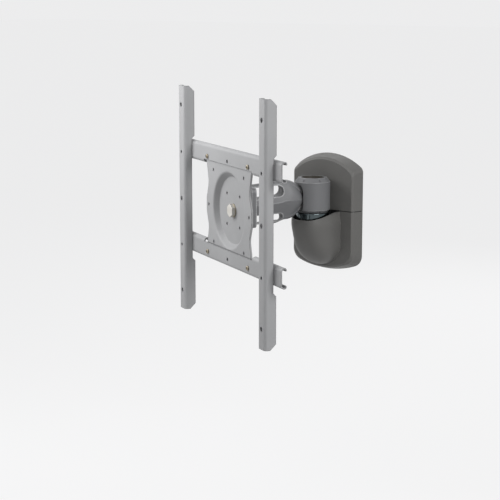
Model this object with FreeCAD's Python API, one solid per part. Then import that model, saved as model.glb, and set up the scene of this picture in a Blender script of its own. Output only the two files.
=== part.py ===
import FreeCAD
import Part
import math
import os

V = FreeCAD.Vector
X_AXIS = V(1, 0, 0)
Y_AXIS = V(0, 1, 0)
Z_AXIS = V(0, 0, 1)

# Millimetres. The wall is the plane y = 0, the room is toward -y, z is up.
# The origin is the centre of the wall plate's back face.

# Where the axes and the screen frame lie
PIVOT_OUT = 66.0        # swivel axis in front of the wall
REST_SWIVEL = -29.0     # degrees that the arm is turned when the joints read zero
TILT_REACH = 64.0       # tilt axis in front of the swivel axis
TILT_Z = 35.0
TILT_LIMIT = 15.0       # degrees each way
FRAME_REACH = 211.0     # front of the rails in front of the swivel axis
FRAME_Z = 20.0          # centre of the screen frame

# Clearances
RUN = 0.05              # running fit, on the radius
GAP = 0.3               # between pieces that turn past each other
SLIDE = 0.15            # side play of the tilt joint
SEAM = 0.4              # joint between the two covers
OVER = 5.0              # how far cutting tools reach past the metal

# Wall plate and its pivot
PLATE_W = 124.0
PLATE_H = 196.0
PLATE_T = 4.0
PLATE_CORNER = 12.0
WALL_HOLE_R = 4.5
WALL_HOLES_X = 90.0
WALL_HOLES_Z = 160.0
SHELF_TOP = -6.0
SHELF_T = 12.0
SHELF_NOSE_R = 27.0
GUSSET_T = 8.0
GUSSET_X = 17.0
GUSSET_DROP = 70.0
GUSSET_RUN = 52.0
SHAFT_R = 12.5
THREAD_R = 10.0
SHAFT_TOP = 71.0
SHAFT_CHAMFER = 1.2
COLLAR_R = 34.0         # bright collar that the housing turns on
COLLAR_TOP = 5.7
COLLAR_EDGE = 1.5

# Pivot housing
HOUSING_R = 36.5
HOUSING_BOTTOM = 12.0
HOUSING_TOP = 69.5
TOP_CAP_H = 8.5
TOP_CAP_R = 29.0
BOTTOM_CAP_R = 31.0
RECESS_R = 23.5
RECESS_FLOOR = 56.0
BUSH_R = 16.0
BUSH_L = 20.0
RETAINER_R = 20.0
RETAINER_T = 3.0
SHAFT_NUT_AF = 30.0
SHAFT_NUT_H = 9.0
CAP_SCREWS = 6
CAP_SCREW_R = 2.2
CAP_SCREW_L = 4.0
CAP_SCREW_SUNK = 0.7
HEX_TURNED = 1.0        # from the flats to the turned end of the large nut and bolt

# Tilt head
HEAD_R = 41.0           # half height at the tilt axis
HEAD_BACK = 38.5        # from the tilt axis to the round rear end
HEAD_MID = 18.0         # half thickness along the ridge at mid height
HEAD_EDGE = 9.0         # half thickness where the rim starts to round off
HEAD_ROUND = 8.0        # height of the rounded rim
HEAD_BOW = 0.06         # bow of the flat sides, as a share of their slope
HEAD_BOW_REAR = 0.25    # the same at the rear end, where the ridge has faded out
HEAD_STEPS = 6
HEAD_TIP = 0.985        # share of the rear end that is rounded, the rest is cut off flat
HEAD_FLARE = 26.0       # length in which the underside drops to the level of the base
HEAD_BASE_T = 11.5
HEAD_BASE_W = 92.0
HEAD_BASE_H = 82.0
HEAD_BASE_Z = 28.5
HEAD_BASE_CORNER = 10.0
TURN_BOSS_R = 45.0
TURN_BOSS_L = 12.2
WINDOW_AHEAD = 8.5      # rear end of the windows, in front of the tilt axis
WINDOW_ROUND = 0.46     # radius of its rear corners, as a share of its height there
UPPER_WINDOW_REAR = (45.0, 66.5)
UPPER_WINDOW_FRONT = (40.0, 63.0)
LOWER_WINDOW_REAR = (-6.5, 9.0)
LOWER_WINDOW_FRONT = (-9.5, 7.0)
TONGUE_T = 10.0
TONGUE_R = 11.0
TILT_WASHER_T = 1.0
AXLE_R = 6.0
AXLE_HEAD_R = 9.0
AXLE_HEAD_H = 5.0
AXLE_SOCKET_AF = 7.8
AXLE_SOCKET = 3.0       # depth of the socket
AXLE_BLIND = 3.5        # metal left over the end of the axle
POCKET_GAP = 1.0        # round the tilt head in the pivot housing
POCKET_ROUND = 7.0
TENSION_R = 3.0
TENSION_AHEAD = 4.5     # tension screw in front of the tilt axis
TENSION_CLEAR = 2.5     # from its end to the tongue
TENSION_SUNK = 2.5

# Joint between the head and the screen frame
FRICTION_R = 44.0
FRICTION_T = 3.0
CENTRE_BOLT_R = 8.0
CENTRE_BOLT_AF = 24.0
CENTRE_BOLT_HEAD = 7.0
CENTRE_BOLT_DEPTH = 26.0
CENTRE_WASHER_R = 14.0
CENTRE_WASHER_T = 1.5

# Screen frame
HOLE_PITCH = 100.0      # pitch of the mounting holes, both ways
RAIL_L = 480.0
RAIL_W = 32.0
RAIL_T = 2.5
RAIL_BEND = 7.0
RAIL_DEPTH = 24.0
RAIL_STEP = 18.0        # depth where the bars lie behind the rail
RAIL_STEP_Z = 128.5
RAIL_CHAMFER = 12.0
SCREEN_HOLE_R = 4.75
RAIL_SCREW_HOLE_R = 3.3
BAR_L = 497.0
BAR_T = 2.5
BAR_BEND = 7.5
BAR_DEPTH = 12.0
BAR_LIP = 6.5           # width of the folded-in lips
BAR_LIP_BEND = 4.0
BAR_ABOVE = 26.0        # bar edges from the line of its screws
BAR_BELOW = 15.0
BAR_HOLE_R = 3.5
BAR_NOTCH_CLEAR = 5.0   # from the face plate to the ends of the notch in a bar
FACE_T = 4.0
FACE_CLEAR = 2.0        # from the plate to the outer bends of the bars
FACE_HALF_W = 114.0
FACE_CORNER = 6.0
FACE_WAIST = 99.5
FACE_WAIST_Z = 46.0
FACE_WAIST_ROUND = 30.0
FACE_MID = 111.0
FACE_MID_Z = 14.0
FACE_MID_ROUND = 12.0
DISH_R = 78.0
DISH_FLOOR_R = 69.0
DISH_DEPTH = 11.0
DISH_LIP = 6.0          # bend radius along the rim of the dish
DISH_SURROUND = 9.0     # flat ring round the dish
CORNER_HOLES = 150.0
CORNER_HOLE_R = 3.5
MID_HOLE_R = 3.25
INNER_HOLES = 63.0
INNER_HOLE_R = 3.0
SCREW_R = 3.0
SCREW_HEAD_R = 4.8
SCREW_HEAD_H = 3.2
SCREW_HEAD_ROUND = 0.45 # rounding of the head, as a share of its height
SCREW_SOCKET_AF = 4.0
SCREW_SOCKET = 2.0      # depth of the socket
NUT_AF = 10.0
NUT_H = 5.0
RAIL_NUT_R = 7.0
RAIL_NUT_H = 6.0

# Covers
COVER_HALF_W = 81.8
UPPER_PEAK = 122.5
UPPER_SIDE = 93.0       # height at which the arch would meet the straight sides
UPPER_CORNER = 14.0
LOWER_PEAK = 124.5
LOWER_SIDE = 106.0
LOWER_CORNER = 26.0
COVER_DEPTH = 28.0
COVER_TAPER = 6.75      # how far the sides lean in from the wall to the bevel
COVER_EDGE = 4.0        # bevel along the front
COVER_WALL = 2.6
COVER_OFF_WALL = 0.5
CLIP_Z = 30.0
CLIP_H = 14.0
SPLIT_Z = 6.0
CUP_R = 45.0
CUP_POWER = 3.0         # fullness of the rounding of its front, 2 for an ellipse
CUP_BOTTOM = -110.0
CUP_STRAIGHT = -66.0    # the cup's sides are upright down to here
CUP_RIM_DROP = 15.0
CUP_RIM_BACK = 44.0     # the rim slopes down from here to the front
CUP_STEPS = 9
CUP_POINTS = 14
CUP_BACK = COVER_DEPTH / 2
CUP_FLAT = 1.0          # height of the flat left at the very bottom

BAR_FRONT = FRAME_REACH - RAIL_STEP
FACE_FRONT = BAR_FRONT - BAR_T
FACE_BACK = FACE_FRONT - FACE_T
FACE_HALF_H = HOLE_PITCH + BAR_BELOW - BAR_BEND - FACE_CLEAR
DISC_FRONT = FACE_FRONT - DISH_DEPTH
DISC_BACK = DISC_FRONT - FACE_T
BOSS_END = DISC_BACK - GAP - FRICTION_T
HEAD_BASE_BACK = BOSS_END - TURN_BOSS_L - HEAD_BASE_T
WINDOW_REAR = TILT_REACH + WINDOW_AHEAD
SHELF_BOTTOM = SHELF_TOP - SHELF_T
CAP_BOTTOM = COLLAR_TOP + GAP
CAP_TOP = HOUSING_TOP + TOP_CAP_H
SLOT_HALF = TONGUE_T / 2 + TILT_WASHER_T + SLIDE


def box(x0, x1, y0, y1, z0, z1):
    return Part.makeBox(x1 - x0, y1 - y0, z1 - z0, V(x0, y0, z0))


def cylinder(radius, length, start, direction):
    return Part.makeCylinder(radius, length, start, direction)


def ring(outer, inner, length, start, direction):
    hole = cylinder(inner, length, start, direction)
    return cylinder(outer, length, start, direction).cut(hole)


def hexagon(across_flats, length, start, direction, first_corner):
    turn = FreeCAD.Rotation(direction, 60)
    arm = V(first_corner) * (across_flats / math.sqrt(3))
    points = []
    for _ in range(6):
        points.append(start + arm)
        arm = turn.multVec(arm)
    face = Part.Face(Part.makePolygon(points + points[:1]))
    return face.extrude(direction * length)


def turned_hexagon(across_flats, length, start, direction, first_corner):
    """Hexagon with its far end turned to a cone, as on nuts and bolt heads."""
    end = across_flats / 2 + HEX_TURNED
    cone = Part.makeCone(end + length, end, length, start, direction)
    return hexagon(across_flats, length, start, direction, first_corner).common(cone)


def rectangle(a0, a1, b0, b1, radius):
    """Corners of a rectangle, all rounded alike."""
    return [(a0, b0, radius), (a1, b0, radius), (a1, b1, radius), (a0, b1, radius)]


def outline(corners, place):
    """Closed wire through corners (a, b, radius), each rounded by its radius."""
    edges = []
    ends = []
    count = len(corners)
    for i in range(count):
        a, b, radius = corners[i]
        here = V(a, b, 0)
        back = V(corners[i - 1][0], corners[i - 1][1], 0) - here
        ahead = V(corners[(i + 1) % count][0], corners[(i + 1) % count][1], 0) - here
        if radius == 0:
            ends.append((here, here, here))
            continue
        back.normalize()
        ahead.normalize()
        half = back.getAngle(ahead) / 2
        reach = radius / math.tan(half)
        inward = back + ahead
        inward.normalize()
        middle = here + inward * (radius / math.sin(half) - radius)
        ends.append((here + back * reach, middle, here + ahead * reach))
    for i in range(count):
        first, middle, last = [place(p.x, p.y) for p in ends[i]]
        after = place(ends[(i + 1) % count][0].x, ends[(i + 1) % count][0].y)
        if not first.isEqual(last, 1e-6):
            edges.append(Part.Arc(first, middle, last).toShape())
        if not last.isEqual(after, 1e-6):
            edges.append(Part.makeLine(last, after))
    return Part.Wire(edges)


def prism(corners, place, vector):
    return Part.Face(outline(corners, place)).extrude(vector)


def across(y):
    """Plane of the screen frame, y in front of the swivel axis: x right, z from the frame's centre."""
    return lambda a, b: V(a, -y, FRAME_Z + b)


def sideways(x):
    """Side view of the arm: reach in front of the swivel axis, and height."""
    return lambda a, b: V(x, -a, b)


def fused(shapes):
    return shapes[0].multiFuse(shapes[1:]).removeSplitter()


def grid(spacing_x, spacing_z):
    return [(sx * spacing_x / 2, sz * spacing_z / 2) for sz in (1, -1) for sx in (-1, 1)]


def at_rest(shape):
    """Turns a piece of the arm, drawn straight out, to the rest angle and sets it on the pivot."""
    turned = shape.copy()
    turned.rotate(V(0, 0, 0), Z_AXIS, REST_SWIVEL)
    turned.translate(V(0, -PIVOT_OUT, 0))
    return turned


def save(name, shape):
    shape.exportStep("parts/" + name + ".step")


def save_arm(name, shape):
    save(name, at_rest(shape))


def make_wall_plate():
    half_w = PLATE_W / 2
    half_h = PLATE_H / 2
    corners = rectangle(-half_w, half_w, -half_h, half_h, PLATE_CORNER)
    plate = prism(corners, lambda a, b: V(a, 0, b), V(0, -PLATE_T, 0))
    holes = [cylinder(WALL_HOLE_R, PLATE_T, V(x, 0, z), -Y_AXIS)
             for x, z in grid(WALL_HOLES_X, WALL_HOLES_Z)]
    return plate.cut(holes)


def make_pivot_shelf():
    nose = cylinder(SHELF_NOSE_R, SHELF_T, V(0, -PIVOT_OUT, SHELF_BOTTOM), Z_AXIS)
    beam = box(-SHELF_NOSE_R, SHELF_NOSE_R, -PIVOT_OUT, -PLATE_T, SHELF_BOTTOM, SHELF_TOP)
    bore = cylinder(SHAFT_R + RUN, SHELF_T, V(0, -PIVOT_OUT, SHELF_BOTTOM), Z_AXIS)
    return fused([nose, beam]).cut(bore)


def make_gussets():
    foot = SHELF_BOTTOM - GUSSET_DROP
    corners = [(-PLATE_T, SHELF_BOTTOM, 0), (-PLATE_T - GUSSET_RUN, SHELF_BOTTOM, 0),
               (-PLATE_T - GUSSET_T, foot, 0), (-PLATE_T, foot, 0)]
    gussets = []
    for side in (-1, 1):
        x = side * GUSSET_X - GUSSET_T / 2
        gussets.append(prism(corners, lambda a, b: V(x, a, b), V(GUSSET_T, 0, 0)))
    return Part.makeCompound(gussets)


def make_pivot_shaft():
    foot = V(0, -PIVOT_OUT, SHELF_BOTTOM)
    shoulder = RECESS_FLOOR + GAP
    body = cylinder(SHAFT_R, shoulder - SHELF_BOTTOM, foot, Z_AXIS)
    thread = cylinder(THREAD_R, SHAFT_TOP - shoulder, V(0, -PIVOT_OUT, shoulder), Z_AXIS)
    rim = [e for e in thread.Edges if e.BoundBox.ZMin > SHAFT_TOP - 0.01 and e.Closed]
    return fused([body, thread.makeChamfer(SHAFT_CHAMFER, rim)])


def make_pivot_collar():
    start = V(0, -PIVOT_OUT, SHELF_TOP)
    height = COLLAR_TOP - SHELF_TOP
    body = cylinder(COLLAR_R, height, start, Z_AXIS)
    bore = cylinder(SHAFT_R + RUN, height, start, Z_AXIS)
    rim = [e for e in body.Edges if e.Closed and e.BoundBox.ZMin > COLLAR_TOP - 0.01]
    return body.makeFillet(COLLAR_EDGE, rim).cut(bore)


def make_retaining_washer():
    return ring(RETAINER_R, THREAD_R + RUN, RETAINER_T, V(0, -PIVOT_OUT, RECESS_FLOOR + GAP), Z_AXIS)


def make_shaft_nut():
    start = V(0, -PIVOT_OUT, RECESS_FLOOR + GAP + RETAINER_T)
    nut = turned_hexagon(SHAFT_NUT_AF, SHAFT_NUT_H, start, Z_AXIS, X_AXIS)
    return nut.cut(cylinder(THREAD_R + RUN, SHAFT_NUT_H, start, Z_AXIS))


def head_pocket():
    """Room in the pivot housing for the round end of the tilt head, turned about the tilt axis."""
    radius = HEAD_R + POCKET_GAP
    half = HEAD_MID + POCKET_GAP
    axis = V(0, -TILT_REACH, TILT_Z)
    corners = [(-half, 0, 0), (half, 0, 0), (half, radius, POCKET_ROUND), (-half, radius, POCKET_ROUND)]
    return Part.Face(outline(corners, lambda a, b: axis + V(a, 0, b))).revolve(axis, X_AXIS, 360)


def head_section(reach):
    """Cross-section of the tilt head: on each side two facets that meet in a ridge at mid height."""
    behind = max(0.0, (TILT_REACH - reach) / HEAD_BACK)
    ahead = max(0.0, (reach - TILT_REACH) / (HEAD_BASE_BACK - TILT_REACH))
    flare = min(1.0, max(0.0, (reach - TILT_REACH) / HEAD_FLARE))
    radius = HEAD_R * math.sqrt(1 - behind ** 2)
    top_step = HEAD_BASE_Z + HEAD_BASE_H / 2 - TILT_Z - HEAD_R
    bottom_step = HEAD_BASE_Z - HEAD_BASE_H / 2 - TILT_Z + HEAD_R
    top = TILT_Z + radius + top_step * ahead
    bottom = TILT_Z - radius + bottom_step * flare ** 2 * (3 - 2 * flare)
    z = (top + bottom) / 2
    height = (top - bottom) / 2
    middle = HEAD_MID * (1 - behind ** 4) ** 0.25
    edge = HEAD_EDGE * middle / HEAD_MID
    shoulder = height - min(HEAD_ROUND, height / 3)
    bow = HEAD_BOW + (HEAD_BOW_REAR - HEAD_BOW) * math.sqrt(behind)
    facet = (middle + edge) / 2 + (middle - edge) * bow

    def place(a, b):
        return V(a, -reach, z + b)

    edges = []
    for side, sign in ((1, 1), (-1, 1), (-1, -1), (1, -1)):
        ridge = place(side * middle, 0)
        outer = place(side * edge, sign * shoulder)
        edges.append(Part.Arc(ridge, place(side * facet, sign * shoulder / 2), outer).toShape())
        if side * sign > 0:
            other = place(-side * edge, sign * shoulder)
            edges.append(Part.Arc(outer, place(0, sign * height), other).toShape())
    return Part.Wire(Part.__sortEdges__(edges))


def window(rear, front):
    radius = WINDOW_ROUND * (rear[1] - rear[0])
    corners = [(WINDOW_REAR, rear[0], radius), (WINDOW_REAR, rear[1], radius),
               (HEAD_BASE_BACK, front[1], 0), (HEAD_BASE_BACK, front[0], 0)]
    half = HEAD_MID + OVER
    return prism(corners, sideways(-half), V(2 * half, 0, 0))


def tongue_slot():
    """Space in the tilt head for the tongue of the pivot housing over the whole tilt."""
    radius = TONGUE_R + POCKET_GAP
    axis = V(0, -TILT_REACH, TILT_Z)
    rear = -TILT_REACH + HEAD_R + OVER
    shapes = [cylinder(radius, 2 * SLOT_HALF, axis - X_AXIS * SLOT_HALF, X_AXIS)]
    for angle in (-TILT_LIMIT - 1, 0, TILT_LIMIT + 1):
        lane = box(-SLOT_HALF, SLOT_HALF, -TILT_REACH, rear, TILT_Z - radius, TILT_Z + radius)
        lane.rotate(axis, X_AXIS, angle)
        shapes.append(lane)
    return fused(shapes)


def head_body():
    """Tilt head before it is cut: neck, round rear end, base block and the boss that carries the frame."""
    flare_end = TILT_REACH + HEAD_FLARE
    neck = Part.makeLoft([head_section(flare_end), head_section(HEAD_BASE_BACK + 1)], True, True)
    reaches = [flare_end - HEAD_FLARE * i / HEAD_STEPS for i in range(HEAD_STEPS)]
    for i in range(HEAD_STEPS + 1):
        reaches.append(TILT_REACH - HEAD_TIP * HEAD_BACK * math.sin(0.5 * math.pi * i / HEAD_STEPS))
    dome = Part.makeLoft([head_section(reach) for reach in reaches], True, False)
    half_w = HEAD_BASE_W / 2
    low = HEAD_BASE_Z - HEAD_BASE_H / 2 - FRAME_Z
    corners = rectangle(-half_w, half_w, low, low + HEAD_BASE_H, HEAD_BASE_CORNER)
    base = prism(corners, across(HEAD_BASE_BACK), V(0, -HEAD_BASE_T, 0))
    boss = cylinder(TURN_BOSS_R, TURN_BOSS_L, V(0, -BOSS_END, FRAME_Z), Y_AXIS)
    return fused([neck, dome, base, boss])


def make_tilt_head():
    seat = V(-HEAD_MID, -TILT_REACH, TILT_Z)
    tools = [tongue_slot()]
    tools.append(window(UPPER_WINDOW_REAR, UPPER_WINDOW_FRONT))
    tools.append(window(LOWER_WINDOW_REAR, LOWER_WINDOW_FRONT))
    tools.append(cylinder(CENTRE_BOLT_R, CENTRE_BOLT_DEPTH, V(0, -BOSS_END, FRAME_Z), Y_AXIS))
    tools.append(cylinder(AXLE_R, 2 * HEAD_MID - AXLE_BLIND, seat, X_AXIS))
    tools.append(cylinder(AXLE_HEAD_R + GAP, AXLE_HEAD_H + OVER, seat - X_AXIS * OVER, X_AXIS))
    tools.append(cylinder(TENSION_R, HEAD_R + OVER, V(0, -TILT_REACH - TENSION_AHEAD, TILT_Z), Z_AXIS))
    return head_body().cut(tools)


def make_tilt_axle():
    start = V(-HEAD_MID, -TILT_REACH, TILT_Z)
    head = cylinder(AXLE_HEAD_R, AXLE_HEAD_H, start, X_AXIS)
    shank = cylinder(AXLE_R, 2 * HEAD_MID - AXLE_BLIND, start, X_AXIS)
    socket = hexagon(AXLE_SOCKET_AF, AXLE_SOCKET, start, X_AXIS, Z_AXIS)
    return fused([head, shank]).cut(socket)


def make_tilt_washers():
    washers = []
    for side in (-1, 1):
        start = V(side * (TONGUE_T / 2 + SLIDE), -TILT_REACH, TILT_Z)
        washers.append(ring(TONGUE_R - 1, AXLE_R + RUN, TILT_WASHER_T, start, X_AXIS * side))
    return Part.makeCompound(washers)


def make_tension_screw():
    start = V(0, -TILT_REACH - TENSION_AHEAD, TILT_Z + TONGUE_R + TENSION_CLEAR)
    length = HEAD_R - TENSION_SUNK - TONGUE_R - TENSION_CLEAR
    screw = cylinder(TENSION_R, length, start, Z_AXIS)
    socket = hexagon(TENSION_R, TENSION_R, start + Z_AXIS * (length - TENSION_R), Z_AXIS, X_AXIS)
    return screw.cut(socket)


def make_pivot_housing():
    height = HOUSING_TOP - HOUSING_BOTTOM
    sleeve = cylinder(HOUSING_R, height, V(0, 0, HOUSING_BOTTOM), Z_AXIS)
    sleeve = sleeve.cut(head_pocket())
    half = TONGUE_T / 2
    tongue = box(-half, half, -TILT_REACH, -BUSH_R, TILT_Z - TONGUE_R, TILT_Z + TONGUE_R)
    eye = cylinder(TONGUE_R, TONGUE_T, V(-half, -TILT_REACH, TILT_Z), X_AXIS)
    tools = [cylinder(BUSH_R, height, V(0, 0, HOUSING_BOTTOM), Z_AXIS)]
    tools.append(cylinder(RECESS_R, height, V(0, 0, RECESS_FLOOR), Z_AXIS))
    tools.append(cylinder(AXLE_R + RUN, TONGUE_T, V(-half, -TILT_REACH, TILT_Z), X_AXIS))
    return fused([sleeve, tongue, eye]).cut(tools + cap_screw_holes())


def cap_screw_places():
    """Where each set screw leaves the slope of a cap, and the direction out of it."""
    places = []
    caps = [(TOP_CAP_R, HOUSING_TOP, CAP_TOP), (BOTTOM_CAP_R, HOUSING_BOTTOM, CAP_BOTTOM)]
    for rim, near, far in caps:
        for i in range(CAP_SCREWS):
            angle = 2 * math.pi * i / CAP_SCREWS
            radial = V(math.cos(angle), math.sin(angle), 0)
            out = radial * abs(far - near) + Z_AXIS * math.copysign(HOUSING_R - rim, far - near)
            out.normalize()
            places.append((radial * (HOUSING_R + rim) / 2 + Z_AXIS * (near + far) / 2, out))
    return places


def cap_screw_holes():
    length = OVER + CAP_SCREW_SUNK + CAP_SCREW_L
    return [cylinder(CAP_SCREW_R, length, place + out * OVER, -out) for place, out in cap_screw_places()]


def make_top_cap():
    cap = Part.makeCone(HOUSING_R, TOP_CAP_R, TOP_CAP_H, V(0, 0, HOUSING_TOP), Z_AXIS)
    return cap.cut([cylinder(RECESS_R, TOP_CAP_H, V(0, 0, HOUSING_TOP), Z_AXIS)] + cap_screw_holes())


def make_bottom_cap():
    height = HOUSING_BOTTOM - CAP_BOTTOM
    cap = Part.makeCone(BOTTOM_CAP_R, HOUSING_R, height, V(0, 0, CAP_BOTTOM), Z_AXIS)
    bore = cylinder(BUSH_R, height, V(0, 0, CAP_BOTTOM), Z_AXIS)
    return cap.cut([bore, head_pocket()] + cap_screw_holes())


def make_cap_screws():
    return Part.makeCompound([cylinder(CAP_SCREW_R, CAP_SCREW_L, place - out * CAP_SCREW_SUNK, -out)
                              for place, out in cap_screw_places()])


def make_bush(end_z, direction):
    return ring(BUSH_R, SHAFT_R + RUN, BUSH_L, V(0, 0, end_z), direction)


def make_friction_disc():
    return ring(FRICTION_R, CENTRE_BOLT_R + GAP, FRICTION_T, V(0, -BOSS_END, FRAME_Z), -Y_AXIS)


def make_centre_washer():
    start = V(0, -DISC_FRONT, FRAME_Z)
    return ring(CENTRE_WASHER_R, CENTRE_BOLT_R + RUN, CENTRE_WASHER_T, start, -Y_AXIS)


def make_centre_bolt():
    under_head = DISC_FRONT + CENTRE_WASHER_T
    start = V(0, -under_head, FRAME_Z)
    head = turned_hexagon(CENTRE_BOLT_AF, CENTRE_BOLT_HEAD, start, -Y_AXIS, Z_AXIS)
    shank = cylinder(CENTRE_BOLT_R, under_head - BOSS_END + CENTRE_BOLT_DEPTH - 1, start, Y_AXIS)
    return fused([head, shank])


def make_dish():
    """Pressed dish of the face plate, turned from its section: radius, and depth behind the front."""
    edge = DISH_R + DISH_SURROUND
    inner = DISH_LIP - FACE_T
    section = [(0, DISH_DEPTH, 0), (DISH_FLOOR_R, DISH_DEPTH, inner), (DISH_R, 0, DISH_LIP), (edge, 0, 0),
               (edge, FACE_T, 0), (DISH_R, FACE_T, inner), (DISH_FLOOR_R, DISH_DEPTH + FACE_T, DISH_LIP),
               (0, DISH_DEPTH + FACE_T, 0)]
    face = Part.Face(outline(section, lambda a, b: V(a, b - FACE_FRONT, FRAME_Z)))
    return face.revolve(V(0, 0, FRAME_Z), Y_AXIS, 360)


def make_face_plate():
    corners = []
    for sx, sz in ((1, 1), (1, -1), (-1, -1), (-1, 1)):
        corner = (sx * FACE_HALF_W, sz * FACE_HALF_H, FACE_CORNER)
        waist = (sx * FACE_WAIST, sz * FACE_WAIST_Z, FACE_WAIST_ROUND)
        bulge = (sx * FACE_MID, sz * FACE_MID_Z, FACE_MID_ROUND)
        corners += [corner, waist, bulge] if sx * sz > 0 else [bulge, waist, corner]
    front = V(0, -FACE_FRONT, FRAME_Z)
    sheet = prism(corners, across(FACE_FRONT), V(0, FACE_T, 0))
    sheet = sheet.cut(cylinder(DISH_R + DISH_SURROUND, FACE_T, front, Y_AXIS))
    plate = fused([sheet, make_dish()])
    through = DISH_DEPTH + FACE_T
    tools = [cylinder(CENTRE_BOLT_R + GAP, through, front, Y_AXIS)]
    for x, z in grid(CORNER_HOLES, CORNER_HOLES):
        tools.append(cylinder(CORNER_HOLE_R, FACE_T, front + V(x, 0, z), Y_AXIS))
    for x, z in grid(INNER_HOLES, INNER_HOLES):
        tools.append(cylinder(INNER_HOLE_R, through, front + V(x, 0, z), Y_AXIS))
    for x in (-HOLE_PITCH, HOLE_PITCH):
        tools.append(cylinder(MID_HOLE_R, FACE_T, front + V(x, 0, 0), Y_AXIS))
    for x, z in grid(2 * HOLE_PITCH, 2 * HOLE_PITCH):
        tools.append(cylinder(SCREW_R + RUN, FACE_T, front + V(x, 0, z), Y_AXIS))
    return plate.cut(tools)


def rail_section():
    """U section open to the back, as corners across and back, with the bend radii."""
    half = RAIL_W / 2
    inside = half - RAIL_T
    inner = RAIL_BEND - RAIL_T
    return [(-half, 0, RAIL_BEND), (half, 0, RAIL_BEND),
            (half, RAIL_DEPTH, 0), (inside, RAIL_DEPTH, 0),
            (inside, RAIL_T, inner), (-inside, RAIL_T, inner),
            (-inside, RAIL_DEPTH, 0), (-half, RAIL_DEPTH, 0)]


def make_rail(x):
    half = RAIL_W / 2
    low = FRAME_Z - RAIL_L / 2
    rail = prism(rail_section(), lambda a, b: V(x + a, -FRAME_REACH + b, low), V(0, 0, RAIL_L))
    deep = -FRAME_REACH + RAIL_STEP
    back = -FRAME_REACH + RAIL_DEPTH
    slope = RAIL_DEPTH - RAIL_STEP
    notch = [(RAIL_STEP_Z, deep, 0), (RAIL_STEP_Z + slope, back, 0),
             (-RAIL_STEP_Z - slope, back, 0), (-RAIL_STEP_Z, deep, 0)]
    tools = [prism(notch, lambda a, b: V(x - half, b, FRAME_Z + a), V(RAIL_W, 0, 0))]
    for sign in (1, -1):
        end = sign * RAIL_L / 2
        corner = [(end, back, 0), (end - sign * RAIL_CHAMFER, back, 0), (end, back - RAIL_CHAMFER, 0)]
        tools.append(prism(corner, lambda a, b: V(x - half, b, FRAME_Z + a), V(RAIL_W, 0, 0)))
    for row in (-2, -1, 0, 1, 2):
        radius = SCREEN_HOLE_R if row % 2 == 0 else RAIL_SCREW_HOLE_R
        tools.append(cylinder(radius, RAIL_T, V(x, -FRAME_REACH, FRAME_Z + row * HOLE_PITCH), Y_AXIS))
    return rail.cut(tools)


def lipped_channel(low, high):
    """Section of a bar: a channel open to the back, its edges folded in once more."""
    inner = BAR_BEND - BAR_T
    lip_inner = BAR_LIP_BEND - BAR_T
    back = BAR_DEPTH - BAR_T
    return [(low, 0, BAR_BEND), (high, 0, BAR_BEND), (high, BAR_DEPTH, BAR_LIP_BEND),
            (high - BAR_LIP, BAR_DEPTH, 0), (high - BAR_LIP, back, 0), (high - BAR_T, back, lip_inner),
            (high - BAR_T, BAR_T, inner), (low + BAR_T, BAR_T, inner), (low + BAR_T, back, lip_inner),
            (low + BAR_LIP, back, 0), (low + BAR_LIP, BAR_DEPTH, 0), (low, BAR_DEPTH, BAR_LIP_BEND)]


def make_bar(line_z, inner_edge):
    """Bar with its screw line at line_z; inner_edge is 1 or -1, the side that clears the face plate."""
    front = -BAR_FRONT
    section = lipped_channel(-BAR_BELOW, BAR_ABOVE)
    bar = prism(section, lambda a, b: V(-BAR_L / 2, front + b, FRAME_Z + line_z + a), V(BAR_L, 0, 0))
    edge = FRAME_Z + line_z + (BAR_ABOVE if inner_edge > 0 else -BAR_BELOW)
    low, high = sorted((edge + inner_edge * OVER, edge - inner_edge * BAR_BEND))
    half = FACE_HALF_W + BAR_NOTCH_CLEAR
    tools = [box(-half, half, front - OVER, front + BAR_DEPTH + OVER, low, high)]
    for column in (-2, -1, 0, 1, 2):
        radius = SCREW_R + RUN if column else BAR_HOLE_R
        tools.append(cylinder(radius, BAR_T, V(column * HOLE_PITCH, front, FRAME_Z + line_z), Y_AXIS))
    return bar.cut(tools)


def button_screw(x, z, seat, length, direction):
    """Round-headed screw; seat is the reach of the face under its head."""
    start = V(x, -seat, FRAME_Z + z)
    head = cylinder(SCREW_HEAD_R, SCREW_HEAD_H, start, -direction)
    rim = [e for e in head.Edges if e.Closed and (e.CenterOfMass - start).Length > SCREW_HEAD_H / 2]
    head = head.makeFillet(SCREW_HEAD_H * SCREW_HEAD_ROUND, rim[:1])
    socket = hexagon(SCREW_SOCKET_AF, SCREW_SOCKET, start - direction * SCREW_HEAD_H, direction, Z_AXIS)
    return fused([head, cylinder(SCREW_R, length, start, direction)]).cut(socket)


def make_bar_screws():
    length = BAR_T + FACE_T + NUT_H + 2
    return Part.makeCompound([button_screw(x, z, BAR_FRONT, length, Y_AXIS)
                              for x, z in grid(2 * HOLE_PITCH, 2 * HOLE_PITCH)])


def make_bar_nuts():
    nuts = []
    for x, z in grid(2 * HOLE_PITCH, 2 * HOLE_PITCH):
        start = V(x, -FACE_BACK, FRAME_Z + z)
        nut = hexagon(NUT_AF, NUT_H, start, Y_AXIS, Z_AXIS)
        nuts.append(nut.cut(cylinder(SCREW_R + RUN, NUT_H, start, Y_AXIS)))
    return Part.makeCompound(nuts)


def make_rail_screws():
    seat = BAR_FRONT - BAR_T
    length = FRAME_REACH - RAIL_T - seat
    return Part.makeCompound([button_screw(x, z, seat, length, -Y_AXIS)
                              for x, z in grid(4 * HOLE_PITCH, 2 * HOLE_PITCH)])


def make_rail_nuts():
    nuts = []
    for x, z in grid(4 * HOLE_PITCH, 2 * HOLE_PITCH):
        start = V(x, -FRAME_REACH + RAIL_T, FRAME_Z + z)
        nuts.append(ring(RAIL_NUT_R, SCREW_R + RUN, RAIL_NUT_H, start, Y_AXIS))
    return Part.makeCompound(nuts)


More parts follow.
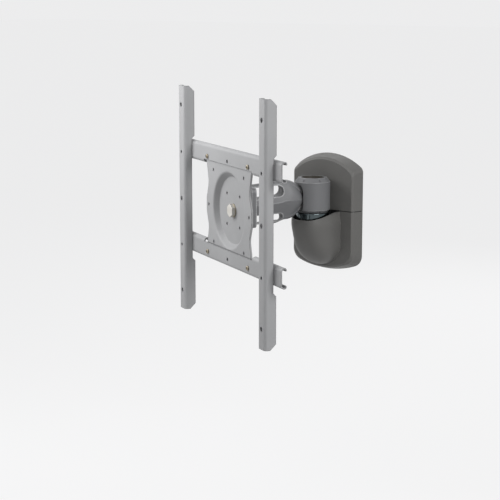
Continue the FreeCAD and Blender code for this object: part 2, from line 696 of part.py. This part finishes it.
def cover_wire(y, inset, top):
    """Outline of the covers at y, drawn in by inset; top is 1 for the upper half, -1 for the lower."""
    if top > 0:
        peak, shoulder, corner, start = UPPER_PEAK, UPPER_SIDE, UPPER_CORNER, SPLIT_Z + SEAM
    else:
        peak, shoulder, corner, start = LOWER_PEAK, LOWER_SIDE, LOWER_CORNER, SPLIT_Z
    half_w = COVER_HALF_W - inset
    rise = peak - shoulder
    peak -= inset
    arch = (half_w ** 2 + rise ** 2) / (2 * rise)
    corner_x = half_w - corner
    corner_z = peak - arch + math.sqrt((arch - corner) ** 2 - corner_x ** 2)
    lean = math.atan2(corner_z - peak + arch, corner_x)

    def spot(x, z):
        return V(x, y, z * top)

    def bend(side, angle):
        return spot(side * (corner_x + corner * math.cos(angle)), corner_z + corner * math.sin(angle))

    edges = [Part.makeLine(V(-half_w, y, start), V(half_w, y, start))]
    edges.append(Part.makeLine(V(half_w, y, start), bend(1, 0)))
    edges.append(Part.Arc(bend(1, 0), bend(1, lean / 2), bend(1, lean)).toShape())
    edges.append(Part.Arc(bend(1, lean), spot(0, peak), bend(-1, lean)).toShape())
    edges.append(Part.Arc(bend(-1, lean), bend(-1, lean / 2), bend(-1, 0)).toShape())
    edges.append(Part.makeLine(bend(-1, 0), V(-half_w, y, start)))
    return Part.Wire(edges)


def cover_solid(top, wall):
    """Body of one cover; wall is how far its surface lies inside the outer one."""
    back = -COVER_OFF_WALL if wall == 0 else 1.0
    bevel = -(COVER_DEPTH - COVER_EDGE)
    front = -(COVER_DEPTH - wall)
    wires = [cover_wire(back, wall, top), cover_wire(bevel, COVER_TAPER + wall, top),
             cover_wire(front, COVER_TAPER + COVER_EDGE + wall, top)]
    return Part.makeLoft(wires, True, True)


def cover_clips(top):
    """Blocks inside a cover that hold it on the edges of the wall plate."""
    clips = []
    inner = PLATE_W / 2
    outer = COVER_HALF_W - COVER_WALL / 2
    low, high = sorted((top * CLIP_Z, top * (CLIP_Z + CLIP_H)))
    for side in (-1, 1):
        near, far = sorted((side * inner, side * outer))
        clips.append(box(near, far, -PLATE_T, -COVER_OFF_WALL, low, high))
    return clips


def make_upper_cover():
    shell = cover_solid(1, 0).cut(cover_solid(1, COVER_WALL))
    return fused([shell] + cover_clips(1))


def cup_wire(z, wall):
    """Plan of the cup at height z, open at the back: a half oval with full sides."""
    drop = min(1.0, max(0.0, (SPLIT_Z - z) / (SPLIT_Z - CUP_BOTTOM)))
    low = min(1.0, max(0.0, (CUP_STRAIGHT - z) / (CUP_STRAIGHT - CUP_BOTTOM)))
    half = CUP_R * math.sqrt(1 - low ** 2) - wall
    reach = COVER_DEPTH + (PIVOT_OUT + CUP_R - COVER_DEPTH) * math.sqrt(1 - drop ** 1.8) - wall
    points = []
    for i in range(CUP_POINTS + 1):
        angle = math.pi * i / CUP_POINTS
        share = abs(math.cos(angle)) ** (2 / CUP_POWER)
        x = math.copysign(half * share, -math.cos(angle))
        y = -CUP_BACK - (reach - CUP_BACK) * math.sin(angle) ** (2 / CUP_POWER)
        points.append(V(x, y, z))
    curve = Part.BSplineCurve()
    curve.interpolate(points, InitialTangent=-Y_AXIS, FinalTangent=Y_AXIS)
    return Part.Wire(curve.toShape())


def cup_solid(wall):
    wires = []
    for i in range(CUP_STEPS + 1):
        fall = math.sin(0.5 * math.pi * i / CUP_STEPS)
        wires.append(cup_wire(SPLIT_Z + (CUP_BOTTOM + CUP_FLAT + wall - SPLIT_Z) * fall, wall))
    skin = Part.makeLoft(wires, False, False)
    faces = skin.Faces
    rear = [edge for edge in skin.Edges if edge.BoundBox.YMin > -CUP_BACK - 0.01]
    for wire in (wires[0], wires[-1]):
        closing = Part.makeLine(wire.Edges[-1].Vertexes[-1].Point, wire.Edges[0].Vertexes[0].Point)
        faces.append(Part.Face(Part.Wire(Part.__sortEdges__(wire.Edges + [closing]))))
        rear.append(closing)
    faces.append(Part.Face(Part.Wire(Part.__sortEdges__(rear))))
    shell = Part.Shell(faces)
    shell.sewShape()
    cup = Part.Solid(shell)
    return cup if cup.Volume > 0 else cup.reversed()


def make_lower_cover():
    outer = fused([cover_solid(-1, 0), cup_solid(0)])
    inner = fused([cover_solid(-1, COVER_WALL), cup_solid(COVER_WALL)])
    half = CUP_R + OVER
    front = -PIVOT_OUT - half
    high = SPLIT_Z + OVER
    rim = [(-CUP_RIM_BACK, high, 0), (front, high, 0), (front, SPLIT_Z - CUP_RIM_DROP, 0),
           (-CUP_RIM_BACK, SPLIT_Z, 0)]
    trim = prism(rim, lambda a, b: V(-half, a, b), V(2 * half, 0, 0))
    return fused([outer.cut([inner, trim])] + cover_clips(-1))


def main():
    os.makedirs("parts", exist_ok=True)
    save("wall_plate", make_wall_plate())
    save("pivot_shelf", make_pivot_shelf())
    save("shelf_gussets", make_gussets())
    save("pivot_shaft", make_pivot_shaft())
    save("pivot_collar", make_pivot_collar())
    save("retaining_washer", make_retaining_washer())
    save("shaft_nut", make_shaft_nut())
    save("upper_cover", make_upper_cover())
    save("lower_cover", make_lower_cover())
    save_arm("pivot_housing", make_pivot_housing())
    save_arm("top_cap", make_top_cap())
    save_arm("bottom_cap", make_bottom_cap())
    save_arm("cap_screws", make_cap_screws())
    save_arm("upper_bush", make_bush(RECESS_FLOOR, -Z_AXIS))
    save_arm("lower_bush", make_bush(CAP_BOTTOM, Z_AXIS))
    save_arm("tilt_head", make_tilt_head())
    save_arm("tilt_axle", make_tilt_axle())
    save_arm("tilt_washers", make_tilt_washers())
    save_arm("tension_screw", make_tension_screw())
    save_arm("friction_disc", make_friction_disc())
    save_arm("centre_washer", make_centre_washer())
    save_arm("centre_bolt", make_centre_bolt())
    save_arm("face_plate", make_face_plate())
    save_arm("upper_bar", make_bar(HOLE_PITCH, -1))
    save_arm("lower_bar", make_bar(-HOLE_PITCH, 1))
    save_arm("left_rail", make_rail(-2 * HOLE_PITCH))
    save_arm("right_rail", make_rail(2 * HOLE_PITCH))
    save_arm("bar_screws", make_bar_screws())
    save_arm("bar_nuts", make_bar_nuts())
    save_arm("rail_screws", make_rail_screws())
    save_arm("rail_nuts", make_rail_nuts())


main()
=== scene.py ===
import bpy
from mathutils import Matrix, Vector

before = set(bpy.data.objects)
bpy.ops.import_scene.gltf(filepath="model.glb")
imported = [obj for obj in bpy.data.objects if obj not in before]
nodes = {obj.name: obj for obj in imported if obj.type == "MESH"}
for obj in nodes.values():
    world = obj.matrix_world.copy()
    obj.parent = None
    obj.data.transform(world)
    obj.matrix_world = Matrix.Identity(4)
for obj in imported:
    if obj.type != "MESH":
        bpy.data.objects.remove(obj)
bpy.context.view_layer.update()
scene = bpy.context.scene

# Lengths are in metres, noise scales in cells per metre

SWIVEL_OUT = 0.066      # swivel axis in front of the wall
RECESS_R = 0.0236       # recess in the top of the pivot
RECESS_FADE = 0.0004    # width over which the painted shade in the recess fades out
SEAM_Z = 0.0062         # joint between the covers
SEAM_DARK = 0.0007      # half height of the painted shade line in the joint
SEAM_END = 0.0013       # half height where that line has faded out
SEAM_TONE = 0.2         # share of the colour's brightness that is left in the line
JOINT_Z = -0.0615       # edge of the lower bar on the front of the face plate
JOINT_DARK = 0.0012     # half height of the painted shadow line along that edge
JOINT_END = 0.002       # half height where that line has faded out
JOINT_TONE = 0.4        # share of the colour's brightness that is left in the line
FRAME_FRONT = (-0.4848, -0.8746, 0.0)   # way that the screen frame faces at rest

SILVER_ROUND = 0.0008   # rounding of edges that the shading shows
PLASTIC_ROUND = 0.0012
PLATED_ROUND = 0.0005
SILVER_DEEP = 0.0002    # depth of the fine surface texture
PLASTIC_DEEP = 0.00015
PLATED_DEEP = 0.0001

FRAME_SILVER = (0.34, 0.342, 0.348, 1)
# darker tone on the frame's edges and folds: painted shade
FRAME_EDGE_SHADE = (0.12, 0.12, 0.124, 1)
# the silver paint darkened for the cast head and pivot: painted shade
CAST_SILVER_SHADED = (0.138, 0.14, 0.145, 1)
# lighter tone on the edges of the cast parts: painted highlight
CAST_EDGE_HIGHLIGHT = (0.5, 0.5, 0.505, 1)
# dark brown painted into the recess in the top of the pivot: painted shade
PAINTED_RECESS_SHADE = (0.042, 0.037, 0.03, 1)

PAPER = (0.97, 0.97, 0.975, 1)
FLOOR_GREY = (0.5, 0.5, 0.5, 1)
SKY = (0.82, 0.83, 0.85, 1)
SKY_STRENGTH = 0.15
FLOOR_Z = -0.55
FLOOR_HALF = 30.0
FLOOR_SHADOW = 0.15     # share of the real shading that is seen on the floor and the sky

LIGHTS_AIM = (-0.05, -0.2, 0.0)
LIGHTS = [              # name, place, size, watts
    ("left", (-0.8, -0.6, 0.5), 0.7, 10.6),
    ("right", (2.75, -1.25, 1.7), 1.6, 90.0),
    ("top", (-0.1, -1.2, 1.8), 1.2, 4.5),
    ("back", (-0.3, 2.0, 1.0), 1.5, 32.0),
]

CAMERA_AT = (1.63289, -2.51018, 0.46706)
CAMERA_LOOK = (-0.58171, 0.79286, -0.18165)
LENS_MM = 103.11
SENSOR_MM = 36.0
CLIP_END = 100.0


# Shader helpers

def new_material(name):
    mat = bpy.data.materials.new(name)
    mat.use_nodes = True
    mat.node_tree.nodes.clear()
    return mat


def scaled(colour, factor):
    return tuple(part * factor for part in colour[:3]) + (1.0,)


class Graph:
    """Short names for adding and joining shader nodes."""

    def __init__(self, owner):
        self.tree = owner.node_tree

    def add(self, kind, inputs=None, **values):
        node = self.tree.nodes.new(kind)
        for key, value in values.items():
            setattr(node, key, value)
        for key, value in (inputs or {}).items():
            self.put(node.inputs[key], value)
        return node

    def put(self, socket, value):
        if isinstance(value, bpy.types.NodeSocket):
            self.tree.links.new(value, socket)
        else:
            socket.default_value = value

    def noise(self, coords, scale, detail=3.0, rough=0.5):
        inputs = {"Vector": coords, "Scale": scale, "Detail": detail, "Roughness": rough}
        return self.add("ShaderNodeTexNoise", inputs).outputs["Fac"]

    def ramp(self, value, low, high, out_low=0.0, out_high=1.0):
        inputs = {"Value": value, "From Min": low, "From Max": high,
                  "To Min": out_low, "To Max": out_high}
        return self.add("ShaderNodeMapRange", inputs).outputs["Result"]

    def mix(self, factor, first, second):
        """Colour between first and second; the node's colour sockets go by number."""
        inputs = {0: factor, 6: first, 7: second}
        return self.add("ShaderNodeMix", inputs, data_type="RGBA").outputs[2]

    def math(self, operation, first, second=0.0):
        inputs = {0: first, 1: second}
        return self.add("ShaderNodeMath", inputs, operation=operation).outputs[0]

    def object_coords(self):
        return self.add("ShaderNodeTexCoord").outputs["Object"]

    def rounded(self, radius):
        return self.add("ShaderNodeBevel", {"Radius": radius}, samples=4).outputs["Normal"]

    def edges(self, rounded, faint, full):
        """Mask that is 1 on sharp edges, from how far the rounded normal turns."""
        flat = self.add("ShaderNodeNewGeometry").outputs["Normal"]
        dot = self.add("ShaderNodeVectorMath", {0: rounded, 1: flat}, operation="DOT_PRODUCT")
        return self.ramp(dot.outputs["Value"], faint, full)

    def axis_distance(self, coords):
        """Distance from the swivel axis."""
        inputs = {"Vector": coords, "Location": (0.0, SWIVEL_OUT, 0.0), "Scale": (1.0, 1.0, 0.0)}
        moved = self.add("ShaderNodeMapping", inputs).outputs["Vector"]
        return self.add("ShaderNodeVectorMath", {0: moved}, operation="LENGTH").outputs["Value"]

    def line(self, coords, height, dark, end):
        """Mask that is 1 within dark of a height and 0 from end on."""
        z = self.add("ShaderNodeSeparateXYZ", {"Vector": coords}).outputs["Z"]
        away = self.math("ABSOLUTE", self.math("SUBTRACT", z, height))
        return self.ramp(away, end, dark)

    def facing(self, direction):
        """Mask that is 1 on faces of the object that face the direction."""
        normal = self.add("ShaderNodeTexCoord").outputs["Normal"]
        dot = self.add("ShaderNodeVectorMath", {0: normal, 1: direction}, operation="DOT_PRODUCT")
        return self.ramp(dot.outputs["Value"], 0.3, 0.6)

    def bump(self, height, strength, distance, normal):
        inputs = {"Height": height, "Strength": strength, "Distance": distance, "Normal": normal}
        return self.add("ShaderNodeBump", inputs).outputs["Normal"]

    def finish(self, **sockets):
        shader = self.add("ShaderNodeBsdfPrincipled")
        for key, value in sockets.items():
            self.put(shader.inputs[key.replace("_", " ")], value)
        self.add("ShaderNodeOutputMaterial", {"Surface": shader.outputs[0]})


# Finishes

def painted_silver(name, colour, painted_edge_colour, roughness, edge_radius, grain,
                   bore=None, joint=None):
    """Silver paint: flakes, slight clouding, a fine texture and a tone along the edges: painted
    shade where that tone is darker, a painted highlight where it is lighter.

    Surfaces within the radius bore of the swivel axis get a dark brown painted shade, and a
    line at the height joint, on the front of the frame, gets a painted shadow.
    """
    mat = new_material(name)
    g = Graph(mat)
    at = g.object_coords()
    edge = g.edges(g.rounded(edge_radius), faint=0.998, full=0.92)
    clouds = g.noise(at, scale=9.0, detail=4.0, rough=0.6)
    flakes = g.noise(at, scale=2600.0, detail=1.0)
    scuffs = g.noise(at, scale=140.0, detail=5.0, rough=0.7)
    base = g.mix(g.ramp(clouds, 0.35, 0.65), scaled(colour, 0.92), colour)
    base = g.mix(g.ramp(flakes, 0.6, 0.8, out_high=0.35), base, scaled(colour, 1.3))
    # the edge colour is painted along sharp edges, varied by the scuff noise: painted shade on
    # the frame, a painted highlight on the cast head and pivot
    painted_edge_shading = g.math("MULTIPLY", edge, g.ramp(scuffs, 0.35, 0.6, out_low=0.5, out_high=0.9))
    base = g.mix(painted_edge_shading, base, painted_edge_colour)
    # painted shade: the recess around the swivel axis is darkened to a brown
    if bore:
        recess_shade_mask = g.ramp(g.axis_distance(at), bore + RECESS_FADE, bore)
        base = g.mix(recess_shade_mask, base, PAINTED_RECESS_SHADE)
    # painted shadow: a dark line on the front of the plate along the lower bar's edge
    if joint:
        painted_shade_line = g.line(at, joint, JOINT_DARK, JOINT_END)
        painted_shade_line = g.math("MULTIPLY", painted_shade_line, g.facing(FRAME_FRONT))
        base = g.mix(painted_shade_line, base, scaled(colour, JOINT_TONE))
    clouded = g.ramp(clouds, 0.3, 0.7, roughness - 0.04, roughness + 0.04)
    rough = g.math("ADD", clouded, g.ramp(scuffs, 0.4, 0.7, -0.03, 0.05))
    pebbles = g.noise(at, scale=700.0, detail=2.0)
    texture = g.bump(pebbles, grain, SILVER_DEEP, g.rounded(SILVER_ROUND))
    g.finish(Base_Color=base, Metallic=0.1, Roughness=rough, Normal=texture)
    return mat


def moulded(name, colour, lighter, roughness, grain, seam=None):
    """Moulded plastic or powder coat with a fine grain and polished edges.

    A joint at the height seam gets a dark line of painted shade.
    """
    mat = new_material(name)
    g = Graph(mat)
    at = g.object_coords()
    normal = g.rounded(PLASTIC_ROUND)
    edge = g.edges(normal, faint=0.995, full=0.86)
    clouds = g.noise(at, scale=14.0)
    pits = g.add("ShaderNodeTexVoronoi", {"Vector": at, "Scale": 1400.0}).outputs["Distance"]
    base = g.mix(g.ramp(clouds, 0.3, 0.7), colour, scaled(colour, 1.12))
    base = g.mix(g.math("MULTIPLY", edge, 0.5), base, lighter)
    # painted shade: a dark line along the joint between the covers
    if seam:
        painted_shade_line = g.line(at, seam, SEAM_DARK, SEAM_END)
        base = g.mix(painted_shade_line, base, scaled(colour, SEAM_TONE))
    clouded = g.ramp(clouds, 0.3, 0.7, roughness - 0.04, roughness + 0.05)
    rough = g.math("ADD", clouded, g.ramp(edge, 0.0, 1.0, 0.0, -0.1))
    texture = g.bump(pits, grain, PLASTIC_DEEP, normal)
    g.finish(Base_Color=base, Roughness=rough, Normal=texture)
    return mat


def plated(name, colour, tint, roughness, brushed):
    """Plated steel: bright metal with a cloudy tint and fine streaks."""
    mat = new_material(name)
    g = Graph(mat)
    at = g.object_coords()
    clouds = g.noise(at, scale=60.0)
    stretched = g.add("ShaderNodeMapping", {"Vector": at, "Scale": (1.0, 1.0, 14.0)})
    streaks = g.noise(stretched.outputs["Vector"], scale=500.0)
    base = g.mix(g.ramp(clouds, 0.35, 0.65), colour, tint)
    streaked = g.ramp(streaks, 0.3, 0.7, roughness - 0.04, roughness + 0.06)
    rough = g.math("ADD", streaked, g.ramp(clouds, 0.3, 0.7, 0.0, 0.05))
    texture = g.bump(streaks, brushed, PLATED_DEEP, g.rounded(PLATED_ROUND))
    g.finish(Base_Color=base, Metallic=1.0, Roughness=rough, Normal=texture)
    return mat


SILVER_PAINT = painted_silver("silver_paint", FRAME_SILVER, FRAME_EDGE_SHADE,
                              roughness=0.62, edge_radius=0.0022, grain=0.08)
SILVER_FACE = painted_silver("silver_face", FRAME_SILVER, FRAME_EDGE_SHADE,
                             roughness=0.62, edge_radius=0.0022, grain=0.08, joint=JOINT_Z)
SILVER_HEAD = painted_silver("silver_head", CAST_SILVER_SHADED, CAST_EDGE_HIGHLIGHT,
                             roughness=0.5, edge_radius=0.0045, grain=0.12)
SILVER_PIVOT = painted_silver("silver_pivot", CAST_SILVER_SHADED, CAST_EDGE_HIGHLIGHT,
                              roughness=0.55, edge_radius=0.0008, grain=0.12, bore=RECESS_R)
COVER = moulded("cover_plastic", (0.098, 0.0962, 0.0918, 1), (0.14, 0.137, 0.132, 1),
                roughness=0.5, grain=0.15, seam=SEAM_Z)
NYLON = moulded("black_nylon", (0.02, 0.02, 0.021, 1), (0.05, 0.05, 0.05, 1),
                roughness=0.5, grain=0.15)
DARK_STEEL = moulded("dark_steel", (0.03, 0.03, 0.032, 1), (0.12, 0.12, 0.12, 1),
                     roughness=0.42, grain=0.1)
BRASS_ZINC = plated("brass_zinc", (0.27, 0.232, 0.17, 1), (0.33, 0.3, 0.24, 1),
                    roughness=0.22, brushed=0.08)
CREAM_ZINC = plated("cream_zinc", (0.62, 0.6, 0.55, 1), (0.68, 0.66, 0.62, 1),
                    roughness=0.34, brushed=0.06)
ZINC = plated("zinc_steel", (0.50, 0.52, 0.55, 1), (0.58, 0.59, 0.6, 1),
              roughness=0.18, brushed=0.06)
BLACK_STEEL = plated("black_steel", (0.05, 0.05, 0.053, 1), (0.08, 0.08, 0.085, 1),
                     roughness=0.28, brushed=0.06)
# dark teal-tinted chrome: the darkened base stands in for dark reflections in the shaded gap,
# painted shade and painted reflection
SHADED_CHROME = plated("dark_chrome", (0.07, 0.088, 0.095, 1), (0.11, 0.13, 0.135, 1),
                roughness=0.1, brushed=0.02)

FINISHES = {
    SILVER_PAINT: ["upper_bar", "lower_bar", "left_rail", "right_rail"],
    SILVER_FACE: ["face_plate"],
    SILVER_HEAD: ["tilt_head"],
    SILVER_PIVOT: ["pivot_housing", "top_cap", "bottom_cap"],
    COVER: ["upper_cover", "lower_cover"],
    NYLON: ["upper_bush", "lower_bush", "tilt_washers", "friction_disc"],
    BRASS_ZINC: ["shaft_nut", "centre_washer", "bar_screws"],
    CREAM_ZINC: ["centre_bolt"],
    SHADED_CHROME: ["pivot_collar"],
    BLACK_STEEL: ["cap_screws", "tension_screw", "rail_screws", "rail_nuts"],
    ZINC: ["pivot_shelf", "pivot_shaft", "retaining_washer", "tilt_axle", "bar_nuts"],
    DARK_STEEL: ["wall_plate", "shelf_gussets"],
}
for finish, names in FINISHES.items():
    for name in names:
        for slot in nodes[name].material_slots:
            slot.material = finish


# Floor, light and camera

def paper_where_seen(g, lit):
    """The lit shader for light, and mostly paper white where the camera or a reflection looks."""
    paper = g.add("ShaderNodeEmission", {"Color": PAPER})
    path = g.add("ShaderNodeLightPath").outputs
    seen = g.math("MAXIMUM", path["Is Camera Ray"], path["Is Glossy Ray"])
    seen = g.math("MAXIMUM", seen, path["Is Transmission Ray"])
    factor = g.math("MULTIPLY", seen, 1.0 - FLOOR_SHADOW)
    inputs = {0: factor, 1: lit.outputs[0], 2: paper.outputs[0]}
    return g.add("ShaderNodeMixShader", inputs).outputs[0]


def make_floor():
    h = FLOOR_HALF
    mesh = bpy.data.meshes.new("floor")
    mesh.from_pydata([(-h, -h, 0), (h, -h, 0), (h, h, 0), (-h, h, 0)], [], [(0, 1, 2, 3)])
    floor = bpy.data.objects.new("floor", mesh)
    floor.location.z = FLOOR_Z
    scene.collection.objects.link(floor)
    mat = new_material("floor")
    g = Graph(mat)
    lit = g.add("ShaderNodeBsdfDiffuse", {"Color": FLOOR_GREY})
    g.add("ShaderNodeOutputMaterial", {"Surface": paper_where_seen(g, lit)})
    mesh.materials.append(mat)


def make_world():
    world = bpy.data.worlds.new("studio")
    world.use_nodes = True
    world.node_tree.nodes.clear()
    g = Graph(world)
    lit = g.add("ShaderNodeBackground", {"Color": SKY, "Strength": SKY_STRENGTH})
    g.add("ShaderNodeOutputWorld", {"Surface": paper_where_seen(g, lit)})
    scene.world = world


def pointed(direction):
    """Rotation that points a light or camera along the direction."""
    return direction.to_track_quat("-Z", "Y").to_euler()


def make_light(name, place, size, watts):
    lamp = bpy.data.lights.new(name, "AREA")
    lamp.energy = watts
    lamp.size = size
    obj = bpy.data.objects.new(name, lamp)
    obj.location = place
    obj.rotation_euler = pointed(Vector(LIGHTS_AIM) - Vector(place))
    scene.collection.objects.link(obj)


def make_camera():
    data = bpy.data.cameras.new("camera")
    data.sensor_width = SENSOR_MM
    data.lens = LENS_MM
    data.clip_end = CLIP_END
    camera = bpy.data.objects.new("camera", data)
    camera.location = CAMERA_AT
    camera.rotation_euler = pointed(Vector(CAMERA_LOOK))
    scene.collection.objects.link(camera)
    scene.camera = camera


make_floor()
make_world()
for light in LIGHTS:
    make_light(*light)
make_camera()
scene.view_settings.view_transform = "Standard"
